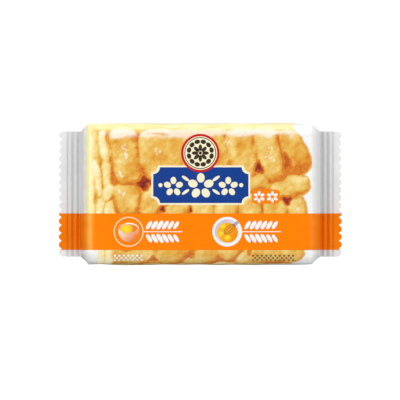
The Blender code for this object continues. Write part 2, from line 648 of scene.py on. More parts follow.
@dataclass(frozen=True)
class FilmFinish:
    """Glossy laminated film with fine crinkles, over white or over one flat ink. Sizes are in metres."""

    name: str
    slot: Slot
    colour: Colour
    gloss: float = 0.30
    gloss_spread: float = 0.10
    gloss_size: float = 6.0 * MM
    shine: float = 0.46
    dulling: float = 0.4
    crinkle: float = 0.035 * MM
    crinkle_size: float = 2.4 * MM
    crinkle_strength: float = 0.5
    mottle: float = 0.03
    mottle_size: float = 3.5 * MM
    # On film and band the second colour is the pressed grey and painted shade; on an ink it is a printed
    # second tone.
    press_shade: Colour | None = None
    press_shade_size: float = 1.4 * MM

    def surface(self, graph: Graph) -> None:
        """Give a material the film's gloss and crinkles, duller where the film is pressed.

        Args:
            graph: The material's nodes.
        """
        low = self.gloss - self.gloss_spread / 2
        rough = graph.maths("MULTIPLY_ADD", graph.noise(self.gloss_size), self.gloss_spread, low)
        shine: object = self.shine
        if self.press_shade is not None:
            rough = graph.maths("MULTIPLY_ADD", graph.value("press_and_shade"), self.dulling, rough)
            shine = graph.maths("MULTIPLY_ADD", graph.value("press_and_shade"), -self.shine, self.shine, clamp=True)
        height = graph.noise(self.crinkle_size, detail=3.0)
        bump = graph.node("ShaderNodeBump")
        graph.fill(bump, Strength=self.crinkle_strength, Distance=self.crinkle, Height=height)
        graph.fill(graph.shader, Roughness=rough, Normal=bump.outputs["Normal"], Specular_IOR_Level=shine)

    def colours(self, graph: Graph) -> Socket:
        """The colour, with the faint unevenness of printed ink, and greyer where the film is pressed, with
        painted shade in the seals' crimp valleys and at their roots; on an ink, its printed second tone.

        Args:
            graph: The material's nodes.

        Returns:
            The colour's socket.
        """
        plain = linear(self.colour)
        deep = tuple(channel * (1 - 2 * self.mottle) for channel in plain[:3]) + (1.0,)
        even = graph.mix(graph.noise(self.mottle_size, detail=3.0), deep, plain)
        if self.press_shade is None:
            return even
        # Painted shade: the second colour is laid where the film is pressed, darkest in the crimp valleys and
        # at the seal roots.
        uneven = graph.maths("MULTIPLY_ADD", graph.noise(self.press_shade_size, detail=3.0), 0.5, 0.75)
        share = graph.maths("MULTIPLY", graph.value("press_and_shade"), uneven, clamp=True)
        return graph.mix(share, even, linear(self.press_shade))

    def material(self) -> bpy.types.Material:
        """Make the finish's material.

        Returns:
            The new material.
        """
        material = bpy.data.materials.new(self.name)
        graph = Graph(material)
        self.surface(graph)
        graph.fill(graph.shader, Base_Color=self.colours(graph))
        return material


@dataclass(frozen=True)
class BandFinish(FilmFinish):
    """An ink with a painted highlight: a paler glow, laid where the attribute glow says, across the left
    gable's rounding.
    """

    glow: Colour = (255, 182, 66)

    def colours(self, graph: Graph) -> Socket:
        """The ink's colour with its painted highlight."""
        return graph.mix(graph.value("glow"), super().colours(graph), linear(self.glow))


@dataclass(frozen=True)
class PictureFinish(FilmFinish):
    """The printed picture of golden strips, shaded from values kept on the print's vertices.

    Each grain is the size of its blots and how much it changes the tone.
    """

    palette: tuple[tuple[float, Colour], ...] = (
        (0.00, (92, 12, 18)),
        (0.12, (172, 62, 32)),
        (0.24, (214, 116, 32)),
        (0.37, (223, 151, 50)),
        (0.51, (230, 180, 80)),
        (0.66, (239, 204, 118)),
        (0.80, (246, 222, 156)),
        (0.92, (251, 236, 184)),
        (1.00, (254, 246, 212)),
    )
    crust: Colour = (253, 241, 230)
    glint: Colour = (255, 252, 240)
    glow: Colour = (251, 240, 172)
    coarse_grain: Pair = (1.9 * MM, 0.28)
    fine_grain: Pair = (0.6 * MM, 0.22)

    def colours(self, graph: Graph) -> Socket:
        """The picture's colours where there is print, and the film's white beside it.

        Args:
            graph: The material's nodes.

        Returns:
            The colour's socket.
        """
        (coarse_size, coarse_gain), (fine_size, fine_gain) = self.coarse_grain, self.fine_grain
        coarse = graph.maths("SUBTRACT", graph.noise(coarse_size, detail=4.0, roughness=0.6), 0.5)
        fine = graph.maths("SUBTRACT", graph.noise(fine_size), 0.5)
        tone = graph.maths("MULTIPLY_ADD", coarse, coarse_gain, graph.value("tone"))
        tone = graph.maths("MULTIPLY_ADD", fine, fine_gain, tone)
        patchy = graph.maths("MULTIPLY_ADD", fine, 0.6, 0.92)
        pale = graph.maths("MULTIPLY", graph.value("crust"), patchy, clamp=True)
        baked = graph.mix(pale, graph.ramp(tone, self.palette), linear(self.crust))
        # The glow colour is a painted highlight at the left end and, with the print's pale top, along the
        # upper rounding.
        for share, colour in (("glow", self.glow), ("glint", self.glint)):
            baked = graph.mix(graph.value(share), baked, linear(colour))
        return graph.mix(graph.value("ink"), linear(self.colour), baked)


FILM_WHITE: Colour = (241, 241, 240)
# Painted shade: the white film's second colour greys the seals' crimp valleys and roots.
WHITE_FILM = FilmFinish("white_film_gloss", Slot.FILM, FILM_WHITE, press_shade=(186, 186, 188))
PICTURE = PictureFinish("golden_strip_print", Slot.GOLDEN, FILM_WHITE)
# Painted shade: the orange's second colour darkens the band on the seals.
ORANGE_INK = BandFinish("orange_ink", Slot.ORANGE, (255, 131, 1), shine=0.18, press_shade=(217, 108, 0))
BLUE_INK = FilmFinish("blue_ink", Slot.BLUE, (12, 60, 142))
CREAM_INK = FilmFinish("cream_ink", Slot.CREAM, (246, 240, 204))
RED_INK = FilmFinish("red_ink", Slot.RED, (200, 16, 28))
BROWN_INK = FilmFinish("brown_ink", Slot.RED, (58, 40, 26))
OCHRE_INK = FilmFinish("ochre_ink", Slot.RED, (136, 98, 42))
WHITE_INK = FilmFinish("white_ink", Slot.WHITE, (247, 246, 242))
GREY_INK = FilmFinish("grey_ink", Slot.WHITE, (168, 174, 184))
BOWL_INK = FilmFinish("bowl_ink", Slot.WHITE, (246, 245, 247), press_shade=(204, 192, 210))
YOLK_INK = FilmFinish("yolk_ink", Slot.GOLDEN, (255, 222, 44), press_shade=(247, 152, 16))
POOL_INK = FilmFinish("pool_ink", Slot.ORANGE, (253, 184, 38), press_shade=(244, 136, 10))
SHELL_INK = FilmFinish("shell_ink", Slot.CREAM, (253, 228, 200), press_shade=(234, 126, 56))
WIRE_INK = FilmFinish("wire_ink", Slot.ORANGE, (160, 100, 44))


def dress(piece: Piece, finish: FilmFinish, note: str) -> Piece:
    """Give a piece its finish and body, and report it.

    Args:
        piece: The piece.
        finish: What it is covered in.
        note: What it is, for the log.

    Returns:
        The same piece.
    """
    known = bpy.data.materials.get(finish.name)
    piece.data.materials.append(known or finish.material())
    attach(piece, BODY)
    LOG.info("%s: %s, %d faces", piece.name, note, len(piece.data.polygons))
    return piece


@dataclass
class Film:
    """The white film: sleeve, gables and crimped seals in one closed skin."""

    form: PackForm
    per_scallop: int = 6
    corner_steps: int = 8
    side_steps: int = 14
    seal_steps: int = 64
    gable_steps: int = 22
    sleeve_steps: int = 144
    shared_columns: int = 43
    dent_limit: float = 0.3 * MM

    def stations(self) -> Array:
        """Places along the pack from cut edge to cut edge, closest where the film turns most.

        Returns:
            A column of X.
        """
        form = self.form
        turn = np.linspace(0, QUARTER_TURN, self.gable_steps + 1)[1:]
        gable = form.sleeve_half + form.gable_run * np.sin(turn)
        seal = np.linspace(form.seal_root, form.half_length, self.seal_steps + 1)[1:]
        half = np.concatenate([gable, seal])
        sleeve = np.linspace(-form.sleeve_half, form.sleeve_half, self.sleeve_steps + 1)
        return np.concatenate([-half[::-1], sleeve, half])[:, None]

    def columns(self, x: Array) -> Array:
        """Places across the front: straight lines in its middle, drawn together near its two edges.

        Args:
            x: Stations, as a column.

        Returns:
            One row of Y for each station.
        """
        form = self.form
        count = form.scallops * self.per_scallop
        spacing = 2 * form.seal_flat / count
        even = (np.arange(count + 1) - count / 2) * spacing
        inner = self.shared_columns * spacing
        beyond = np.maximum(0.0, np.abs(even) - inner) * (form.flat(x) - inner) / (form.seal_flat - inner)
        return np.sign(even) * (np.minimum(np.abs(even), inner) + beyond)

    def press_shade(self, columns: int) -> Array:
        """How grey the pressed film looks at each station, with painted shade, repeated for a number of
        columns.
        """
        return np.repeat(self.form.press_and_shade(self.stations()), columns, axis=1)

    def front_places(self, lift: float = 0.0) -> Array:
        """The printed front from seal to seal.

        Args:
            lift: How far above the film.

        Returns:
            X, Y and Z for each station and column.
        """
        x = self.stations()
        y = self.columns(x)
        places = self.form.on_front(x, y, lift)
        places[..., 0] += self.form.end_x(x, y) - x
        return places

    def back_places(self) -> Array:
        """The back from seal to seal, with its columns from the top of the picture to the bottom.

        Returns:
            X, Y and Z for each station and column.
        """
        form = self.form
        x = self.stations()
        y = self.columns(x)[:, ::-1]
        face_x, face_z = form.facing(form.back, x, y)
        bumps = form.bumps(x, y + form.width)
        dents = (np.abs(bumps) * (form.left(x) > 0)).clip(0, self.dent_limit)
        dents = dents * smooth_step(form.hollow(y), 0.1 * form.fin_thickness, form.fin_thickness) * 0.5
        gable = bumps * smooth_step(np.abs(x), form.sleeve_half, form.seal_root)
        z = form.back(x, y) + dents - face_z * gable
        return joined(form.end_x(x, y) - face_x * gable, y, np.maximum(z, 0.0))

    def side_places(self, way: float) -> Array:
        """A narrow side with its two roundings, from the front down to the back.

        Args:
            way: 1 for the side at +Y, -1 for the one at -Y.

        Returns:
            X, Y and Z for each station and column.
        """
        form = self.form
        rounding = np.linspace(0.0, ROUNDING, self.corner_steps + 1)
        wall = np.linspace(ROUNDING, 1 - ROUNDING, self.side_steps + 1)[1:-1]
        t = np.concatenate([rounding[1:], wall, 1 - ROUNDING + rounding[:-1]])
        places = form.on_side(self.stations(), t[None, :], way, 0.0)
        edge = np.clip(places[..., 1], -form.seal_flat, form.seal_flat)
        places[..., 0] = form.end_x(places[..., 0], edge)
        places[..., 2] = np.maximum(places[..., 2], 0.0)
        return places

    def build(self) -> None:
        """Make the film."""
        front, back, side = self.front_places(), self.back_places(), self.side_places(1.0)
        ring = np.concatenate([front, side, back, self.side_places(-1.0)[:, ::-1]], axis=1)
        rows, columns = ring.shape[:2]
        across, wall = front.shape[1], side.shape[1]
        under = 2 * across + wall - 1
        caps = [[k, k + 1, under - 1 - k, under - k] for k in range(across - 1)]
        caps.append(list(range(across - 1, across + wall + 1)))
        caps.append([*range(under, columns), 0])
        piece = new_mesh("pack_film", ring, tube_faces(rows, columns, caps))
        add_values(piece, "press_and_shade", self.press_shade(columns))
        dress(piece, WHITE_FILM, "white film with crimped, scalloped seals")
        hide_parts(NODE)


@dataclass
class Band:
    """The orange field that runs along the front from seal to seal.

    First and last are film columns, counted from the middle one.
    """

    film: Film
    first: int = -43
    last: int = -15
    glow_x: float = -42.7 * MM
    glow_reach: float = 1.15 * MM
    glow_strength: float = 0.8

    def build(self) -> None:
        """Make the band on the film's own lines."""
        middle = self.film.form.scallops * self.film.per_scallop // 2
        places = self.film.front_places(Layer.FIELD.value)[:, middle + self.first : middle + self.last + 1]
        rows, columns = places.shape[:2]
        piece = new_mesh("orange_band", places, grid_faces(rows, columns))
        add_values(piece, "press_and_shade", self.film.press_shade(columns))
        # Painted highlight: a pale stripe across the band where the left gable's rounding would catch the
        # gloss.
        away = (self.film.stations() - self.glow_x) / self.glow_reach
        add_values(piece, "glow", np.repeat(self.glow_strength * np.exp(-(away**2)), columns, axis=1))
        add_grid_map(piece, rows, columns)
        dress(piece, ORANGE_INK, "orange field along the front")


@dataclass
class Fin:
    """The lengthwise seal, folded flat against the back."""

    film: Film
    columns: int = 19
    rib_pitch: float = 1.5 * MM
    rib_height: float = 0.10 * MM
    slack: float = 0.08 * MM
    overlap: float = 0.02 * MM

    def build(self) -> None:
        """Make the fin as a thin closed ribbon."""
        form = self.film.form
        x = self.film.stations()
        y = np.linspace(form.fin_start, form.fin_start + form.fin_width, self.columns)[None, :]
        upper = form.back(x, y)
        thick = np.where(np.abs(x) > form.seal_root, form.seal_thickness / 2, form.fin_thickness - self.slack)
        face_x, face_z = form.facing(form.back, x, y)
        valley = 0.5 + 0.5 * np.cos(FULL_TURN * x / self.rib_pitch)
        out = thick - self.rib_height * valley
        wide = form.end_x(x, y)
        top = joined(wide, y, upper + self.overlap)
        bottom = joined(wide - face_x * out, y, np.maximum(upper - face_z * out, 0.0))
        ring = np.concatenate([top, bottom[:, ::-1]], axis=1)
        rows, columns = ring.shape[:2]
        caps = [[k, k + 1, columns - 2 - k, columns - 1 - k] for k in range(self.columns - 1)]
        piece = new_mesh("back_fin", ring, tube_faces(rows, columns, caps))
        # Painted shade: the fin's rib valleys are greyer, beside the pressed grey.
        press_shade = np.maximum(form.press_and_shade(x), 0.1 + 0.45 * valley)
        add_values(piece, "press_and_shade", np.repeat(press_shade, columns, axis=1))
        dress(piece, WHITE_FILM, "fin seal folded flat on the back")


def lattice_noise(x: Array, y: Array, size: float, seed: int) -> Array:
    """Smooth noise from a grid of random heights.

    Args:
        x: Places one way.
        y: Places the other way.
        size: The grid's spacing.
        seed: Which noise.

    Returns:
        Numbers from -1 to 1.
    """
    cells = 64
    heights = np.random.default_rng(seed).uniform(-1, 1, (cells, cells))
    u, v = np.asarray(x) / size + 17.3, np.asarray(y) / size + 23.7
    i, j = np.floor(u).astype(int), np.floor(v).astype(int)
    a, b = smooth_step(u - i, 0.0, 1.0), smooth_step(v - j, 0.0, 1.0)
    i, j, right, up = i % cells, j % cells, (i + 1) % cells, (j + 1) % cells
    near = heights[i, j] * (1 - a) + heights[right, j] * a
    far = heights[i, up] * (1 - a) + heights[right, up] * a
    return near * (1 - b) + far * b


def layered_noise(x: Array, y: Array, layers: Noise) -> Array:
    """Add up layers of smooth noise, each with its strength, its size and its seed."""
    return sum(gain * lattice_noise(x, y, size, seed) for gain, size, seed in layers)


def blurred(values: Array, radius: float, step: float) -> Array:
    """Blur a field of numbers.

    Args:
        values: The field.
        radius: How far the blur reaches.
        step: The field's spacing.

    Returns:
        The blurred field.
    """
    pad = int(4 * radius / step) + 1
    wide = np.pad(values, pad, mode="edge")
    fx, fy = np.fft.fftfreq(wide.shape[0], step), np.fft.rfftfreq(wide.shape[1], step)
    weight = np.exp(-2 * (math.pi * radius) ** 2 * (fx[:, None] ** 2 + fy[None, :] ** 2))
    return np.fft.irfft2(np.fft.rfft2(wide) * weight, wide.shape)[pad:-pad, pad:-pad]


def turned(x: Array, y: Array, turn: float) -> tuple[Array, Array]:
    """How far places lie along a direction, given in radians, and how far across it."""
    return x * math.cos(turn) + y * math.sin(turn), y * math.cos(turn) - x * math.sin(turn)


@dataclass(frozen=True)
class Strip:
    """One fried strip of the printed picture. Lengths are in millimetres, the turn in degrees."""

    x: float
    y: float
    reach: float
    half_width: float
    turn: float
    level: float
    tone: float
    crust: float = 0.0
    fall: float = 0.06


@dataclass(frozen=True)
class Row:
    """A row of like strips, laid side by side from left to right, in the same units."""

    y: float
    start: float
    end: float
    reach: Pair
    half_width: Pair
    spread: float
    level: Pair
    tone: Pair

    def strips(self, rng: np.random.Generator) -> list[Strip]:
        """Draw the row's strips.

        Args:
            rng: Where their sizes and turns are drawn from.

        Returns:
            The strips, from left to right.
        """
        made = []
        x = self.start
        while x < self.end:
            reach, half = rng.uniform(*self.reach), rng.uniform(*self.half_width)
            turn = rng.uniform(-self.spread, self.spread)
            angle = math.radians(turn)
            across = abs(reach * math.cos(angle)) * 0.85 + abs(half * math.sin(angle))
            x += across
            y = self.y + rng.uniform(-0.6, 0.6)
            made.append(Strip(x, y, reach, half, turn, rng.uniform(*self.level), rng.uniform(*self.tone)))
            x += across
        return made


@dataclass(frozen=True)
class Gap:
    """A dark gap between strips: a pointed hollow. Lengths are in millimetres, the turn in degrees."""

    x: float
    y: float
    wide: float
    high: float
    turn: float = 90.0
    depth: float = 1.0
    points: int = 3

    def open_share(self, x: Array, s: Array) -> Array:
        """How open the gap is.

        Args:
            x: Places along the pack.
            s: Places across it, along the film.

        Returns:
            0 outside the gap, 1 in its middle.
        """
        u, v = (x - self.x) / self.wide, (s - self.y) / self.high
        reach = 1 + 0.24 * np.cos(self.points * (np.arctan2(v, u) - math.radians(self.turn)))
        return 1 - smooth_step(np.hypot(u, v) / reach, 0.62, 0.98)


@dataclass(frozen=True)
class Hollow:
    """How hollows darken the picture, at one scale in millimetres."""

    reach: float
    depth: float
    least: float
    most: float
    gain: float

    def darkening(self, height: Array, step: float) -> Array:
        """How much darker each place of a field of heights gets."""
        below = (blurred(height, self.reach, step) - height) / self.depth
        return self.gain * np.clip(below, self.least, self.most)


@dataclass(frozen=True)
class Ramp:
    """A smooth rise from 0 to a height between two places. With start above end it falls."""

    height: float
    start: float
    end: float

    def at(self, values: Array) -> Array:
        """The height at each value."""
        return self.height * smooth_step(values, self.start, self.end)


@dataclass
class Picture:
    """The printed picture: a pile of golden strips, cut out on the film's white at its right.

    The pile is worked out as a field of heights in millimetres. Its slopes and hollows give the shading.
    Places in the picture are in millimetres: x along the pack, s across it along the film.
    """

    form: PackForm
    step: float = 0.27 * MM
    wrap: float = 9.0 * MM
    over_gable: float = 1.7 * MM
    seed: int = 5
    ground: float = -6.5
    outside: float = -9.0
    gap_floor: float = -2.0
    rounding: float = 3.8
    strip_bend: float = 0.08
    strip_taper: float = 0.14
    squareness: Pair = (2.6, 3.4)
    rim_share: float = 0.92
    rim_drop: float = 0.8
    right: float = 35.5
    left_corner: Pair = (-43.4, -13.0)
    left_lean: Pair = (0.86, 0.5)
    top_corner: Pair = (36.0, 25.4)
    top_lean: float = 0.86
    low_corner: Pair = (40.2, -23.4)
    low_curve: Pair = (0.30, 1.9)
    low_inlet: Ramp = Ramp(4.0, -21.5, -17.5)
    ink_edge: float = 0.35
    caps: Pair = (21.7, 23.1)
    light: tuple[float, float, float] = (0.46, -0.50, 0.73)
    light_level: float = 0.70
    light_gain: float = 0.52
    ground_tone: float = 0.12
    darkest: float = 0.25
    rim_tone: Ramp = Ramp(0.44, 1.8, 0.3)
    top_tone: Ramp = Ramp(0.55, 22.4, 24.0)
    low_tone: Ramp = Ramp(0.09, -23.5, -26.5)
    gap_tones: tuple[float, float, float] = (0.40, 0.245, 0.09)
    gap_gain: float = 1.5
    # Painted highlight: the left glow lies where the left gable's rounding catches the gloss; the top glow is
    # partly the print's pale top of the block and partly a painted highlight on the upper rounding.
    top_glow: Ramp = Ramp(0.72, 24.4, 25.6)
    left_glow: Ramp = Ramp(0.85, -40.8, -42.6)
    left_ink: Ramp = Ramp(1.0, -45.0, -43.4)
    height_blur: float = 0.22
    tone_blur: float = 0.25
    gap_blur: float = 0.12
    core_blur: float = 0.2
    crust_blur: float = 0.3
    hollows: tuple[Hollow, ...] = (Hollow(1.0, 1.3, -0.4, 1.5, 0.16), Hollow(3.0, 3.4, -0.3, 1.4, 0.12))
    bends: tuple[Noise, Noise] = (((0.50, 5.0, 1), (0.20, 1.7, 2)), ((0.50, 5.0, 3), (0.20, 1.7, 4)))
    skin: Noise = ((0.30, 3.4, 5), (0.14, 1.3, 6))
    baking: Noise = ((0.115, 4.2, 7), (0.045, 1.9, 8))
    cap_waves: Noise = ((1.3, 4.6, 9), (0.5, 1.5, 11))
    corner_waves: Noise = ((0.4, 3.0, 10),)
    edge_waves: Noise = ((0.16, 0.8, 12),)
    streaks: Noise = ((0.16, 0.9, 13),)
    streak_level: float = 0.92
    streak_stretch: float = 3.0
    shine_marks: int = 4
    shine_lean: Pair = (0.8, 2.4)
    shine_spread: tuple[float, float, float] = (0.7, 1.2, 0.2)
    shine_size: Pair = (0.6, 0.12)
    shine_blur: float = 0.42
    shine_strength: Pair = (0.3, 0.8)
    shine_height: Ramp = Ramp(1.0, 0.6, 1.8)
    gaps: tuple[Gap, ...] = (
        Gap(-21.8, 4.3, 3.7, 3.0, 8, 1.0, 4),
        Gap(22.9, 10.2, 2.0, 2.8, 90),
        Gap(33.9, -2.4, 2.2, 2.1, 270),
        Gap(33.7, 11.6, 1.9, 4.6, 108, 0.66),
        Gap(-14.6, -6.0, 1.5, 1.7, 200),
        Gap(-3.4, -6.4, 0.8, 1.5, 90),
        Gap(-24.2, -6.2, 0.7, 0.8, 90, 0.6),
        Gap(-18.2, -25.6, 1.8, 1.5, 90, 0.7),
        Gap(-2.8, -23.6, 1.0, 2.6, 330, 0.4),
        Gap(-28.4, -21.9, 2.2, 0.7, 270, 0.5),
        Gap(19.0, -23.0, 0.9, 1.4, 270, 0.35),
        Gap(-16.4, 23.1, 4.6, 0.34, 0, 0.42, 2),
    )
    strips: tuple[Strip, ...] = (
        Strip(35.4, 9.6, 5.6, 4.4, 62, 0.4, 0.33),
        Strip(-42.0, 8.0, 15.0, 1.6, 90, 0.2, 0.82),
        Strip(-41.8, -10.0, 9.0, 1.6, 90, 0.2, 0.80),
        Strip(-40.2, 17.2, 8.2, 1.7, 92, 0.8, 0.62),
        Strip(-37.0, 18.0, 6.8, 1.9, 98, 1.4, 0.80, 0.9),
        Strip(-36.0, 8.0, 7.2, 1.8, 95, 1.2, 0.74, 0.5),
        Strip(-39.4, 5.6, 7.6, 1.6, 98, 1.5, 0.82, 0.4),
        Strip(-38.4, -6.2, 5.4, 1.7, 86, 0.8, 0.76),
        Strip(-35.4, 0.2, 3.8, 2.0, 60, 1.8, 0.70, 0.4),
        Strip(-34.8, -6.4, 4.2, 2.0, 98, 1.2, 0.72),
        Strip(-38.2, -24.8, 4.6, 1.7, 90, 0.6, 0.88),
        Strip(-35.0, -24.6, 4.6, 1.9, 92, 0.9, 0.82),
        Strip(-3.0, 16.6, 10.8, 6.8, 92, 2.2, 0.56, 0.7),
        Strip(-14.8, 15.8, 10.6, 10.4, 90, 2.6, 0.54, 0.8),
        Strip(6.4, 15.8, 11.4, 6.4, 99, 2.2, 0.50, 0.7),
        Strip(16.6, 16.8, 11.4, 6.2, 97, 3.0, 0.50, 0.9),
        Strip(35.9, 16.8, 10.4, 5.5, 112, 2.6, 0.50, 0.9, 0.26),
        Strip(27.0, 16.2, 12.6, 5.3, 102.5, 3.8, 0.50, 0.9),
        Strip(-28.8, 15.0, 12.6, 5.8, 100, 3.4, 0.50, 0.9),
        Strip(-8.6, -6.8, 6.2, 4.6, 0, 1.0, 0.50),
        Strip(1.4, -6.0, 6.0, 4.7, 90, 1.4, 0.62),
        Strip(10.6, -6.0, 6.0, 4.9, 90, 1.6, 0.60),
        Strip(19.6, -5.2, 6.2, 5.0, 92, 1.5, 0.54),
        Strip(29.4, -6.2, 6.4, 5.4, 78, 1.2, 0.52),
        Strip(37.6, -6.6, 5.6, 3.8, 96, 1.6, 0.52),
        Strip(21.6, 4.6, 8.0, 4.5, 174, 2.0, 0.53),
        Strip(34.9, 2.6, 7.8, 4.6, 8, 2.8, 0.53),
        Strip(-16.8, -1.2, 9.2, 5.4, 46, 1.8, 0.52),
        Strip(-28.2, -1.8, 6.6, 5.2, 98, 2.6, 0.55),
        Strip(-28.0, -25.2, 7.6, 4.8, 168, 1.2, 0.46),
        Strip(-20.6, -22.4, 5.6, 4.6, 112, 2.0, 0.50),
        Strip(-9.6, -22.6, 8.0, 5.2, 28, 2.2, 0.47),
        Strip(1.0, -25.2, 8.0, 4.8, 36, 1.8, 0.50),
        Strip(16.6, -26.0, 3.4, 2.5, 110, 1.4, 0.58),
        Strip(11.0, -21.4, 5.2, 4.5, 60, 2.6, 0.54),
        Strip(25.0, -24.2, 8.2, 4.6, 2, 2.0, 0.46),
        Strip(36.0, -23.0, 5.8, 4.5, 36, 1.9, 0.46),
    )
    shines: tuple[Pair, ...] = (
        (-30.4, 18.6),
        (-29.0, 15.0),
        (-31.6, 8.6),
        (-16.4, 17.2),
        (11.6, 19.6),
        (26.4, 17.6),
        (26.9, 14.2),
        (-30.6, -0.6),
        (38.0, -4.2),
    )
    fillers: Row = Row(0, -38, 34, (6.5, 9), (4.8, 5.6), 35, (-0.9, -0.3), (0.36, 0.46))
    filler_rows: tuple[float, ...] = (-34.0, -27.0, -20.0, -13.0, -6.0, 1.0, 8.0, 15.0, 22.0)
    side_base: Strip = Strip(-39.0, -2.0, 34.0, 7.5, 90, -0.4, 0.62)
    borders: tuple[Row, ...] = (
        Row(27.4, -43, 32, (8, 12), (2.6, 3.0), 2, (2.6, 3.4), (0.80, 0.88)),
        Row(31.5, -43, 30, (7, 11), (2.8, 3.6), 3, (-0.8, -0.2), (0.74, 0.84)),
        Row(37.2, -43, 30, (7, 11), (2.8, 3.6), 4, (-0.8, -0.2), (0.70, 0.82)),
        Row(-30.0, -35, 34, (6, 9), (3.0, 3.8), 14, (0.2, 1.2), (0.50, 0.56)),
        Row(-35.8, -34, 34, (6, 9), (3.4, 4.2), 14, (0.2, 1.2), (0.52, 0.58)),
    )

    def axes(self) -> tuple[Array, Array]:
        """Where the picture's points lie, in metres.

        Returns:
            Places along the pack, and places across it along the film.
        """
        form = self.form
        side = form.flat(0.0) + form.edge_radius * math.pi / 2 + self.wrap
        left, right = -form.sleeve_half - self.over_gable, form.sleeve_half - 0.1 * MM
        x = np.linspace(left, right, round((right - left) / self.step) + 1)
        s = np.linspace(-side, side, round(2 * side / self.step) + 1)
        return x, s

    def pile(self, x: Array, s: Array) -> Fields:
        """Stack the strips.

        Args:
            x: Places along the pack, as a column.
            s: Places across it, as a row.

        Returns:
            The fields height, tone, crust, gap, core (the gaps' darkest part) and edge (the distance inside
            the front strips' outline).
        """
        rng = np.random.default_rng(self.seed)
        shape = (x.shape[0], s.shape[1])
        bend_x, bend_s = (axis + layered_noise(x, s, waves) for axis, waves in zip((x, s), self.bends))
        skin = layered_noise(x, s, self.skin)
        fields = {name: np.zeros(shape) for name in ("crust", "gap", "core")}
        fields |= {"height": np.full(shape, self.ground), "tone": np.full(shape, self.ground_tone)}
        back = [self.side_base]
        for y in self.filler_rows:
            back.extend(replace(self.fillers, y=y).strips(rng))
        fields["edge"] = np.full(shape, self.outside)
        for strip in back:
            self.lay(strip, bend_x, bend_s, skin, fields, rng)
        fields["edge"] = np.full(shape, self.outside)
        for strip in [strip for row in self.borders for strip in row.strips(rng)] + list(self.strips):
            self.lay(strip, bend_x, bend_s, skin, fields, rng)
        for gap in self.gaps:
            share = gap.open_share(bend_x, bend_s)
            core = gap.open_share(bend_x + 0.25 * gap.wide, bend_s - 0.3 * gap.high) ** 2
            fields["height"] += (self.gap_floor - fields["height"]) * share * gap.depth
            fields["gap"] = np.maximum(fields["gap"], share * gap.depth)
            fields["core"] = np.maximum(fields["core"], share * core * gap.depth)
        return fields

    def lay(
        self, strip: Strip, x: Array, s: Array, skin: Array, fields: Fields, rng: np.random.Generator
    ) -> None:
        """Lay one strip on the pile.

        Args:
            strip: The strip.
            x: Wavy places along the pack.
            s: Wavy places across it.
            skin: Bumps of the strips' skin.
            fields: The pile's fields, which it changes.
            rng: Where the strip's bend and taper are drawn from.
        """
        turn = math.radians(strip.turn)
        bend, taper = (rng.uniform(-most, most) for most in (self.strip_bend, self.strip_taper))
        power = rng.uniform(*self.squareness)
        along, across = turned(x - strip.x, s - strip.y, turn)
        u = along / strip.reach
        half = strip.half_width * (1 + taper * np.clip(u, -1, 1))
        v = across / half + bend * (np.clip(u, -1.2, 1.2) ** 2 - 0.3)
        far = np.maximum((np.abs(u) ** power + np.abs(v) ** power) ** (1 / power), 0.05)
        slope = np.hypot(np.abs(u) ** (power - 1) / strip.reach, np.abs(v) ** (power - 1) / half)
        depth = (1 - far) * far ** (power - 1) / np.maximum(slope, 1e-4)
        inside = np.clip(depth, self.outside, strip.half_width)
        fields["edge"] = np.maximum(fields["edge"], inside)
        rim = min(self.rounding, strip.half_width * self.rim_share)
        round_off = np.clip(1 - inside / rim, 0, 1)
        height = strip.level - self.rim_drop * rim * (1 - np.sqrt(1 - round_off**2)) + skin
        low = (strip.y - s) / (abs(strip.reach * math.sin(turn)) + abs(strip.half_width * math.cos(turn)))
        on_top = (inside > 0) & (height > fields["height"])
        tone = strip.tone - strip.fall * smooth_step(low, -0.1, 0.9)
        crust = smooth_step(s + layered_noise(x, s, self.cap_waves), *self.caps) * strip.crust
        for name, values in (("height", height), ("tone", tone), ("crust", crust)):
            fields[name] = np.where(on_top, values, fields[name])

    def lit(self, fields: Fields, x: Array, s: Array) -> Array:
        """Light the pile: paler where it faces the light, darker in its hollows.

        Args:
            fields: The pile's fields.
            x: Places along the pack, as a column.
            s: Places across it, as a row.

        Returns:
            The tone of each place.
        """
        step = self.step / MM
        height = blurred(fields["height"], self.height_blur, step)
        slope_x, slope_s = np.gradient(height, step)
        right, up, out = self.light
        light = (right * slope_x + up * slope_s + out) / np.sqrt(slope_x**2 + slope_s**2 + 1)
        tone = blurred(fields["tone"], self.tone_blur, step) + self.light_gain * (light - self.light_level)
        for hollow in self.hollows:
            tone = tone - hollow.darkening(height, step)
        return tone + layered_noise(x, s, self.baking) + self.low_tone.at(s)

    def inside(self, fields: Fields, x: Array, s: Array) -> Array:
        """Cut the picture out: by the block's straight sides, and by the strips' outlines at its right.

        Args:
            fields: The pile's fields.
            x: Places along the pack, as a column.
            s: Places across it, as a row.

        Returns:
            How far inside the cut each place lies.
        """
        (left_x, left_s), (lean_x, lean_s) = self.left_corner, self.left_lean
        (top_x, top_s), (low_x, low_s), (gain, power) = self.top_corner, self.low_corner, self.low_curve
        block = np.minimum(self.right - x, (x - left_x) * lean_x + (s - left_s) * lean_s)
        top = top_x + self.top_lean * np.maximum(top_s - s, 0) - x
        low = low_x - gain * np.maximum(low_s - s, 0) ** power + self.low_inlet.at(s) - x
        corners = np.minimum(top, low) + layered_noise(x, s, self.corner_waves)
        edge = np.minimum(fields["edge"], corners) + layered_noise(x, s, self.edge_waves)
        return np.maximum(np.minimum(edge + 3, block), np.minimum(edge, block + 9))

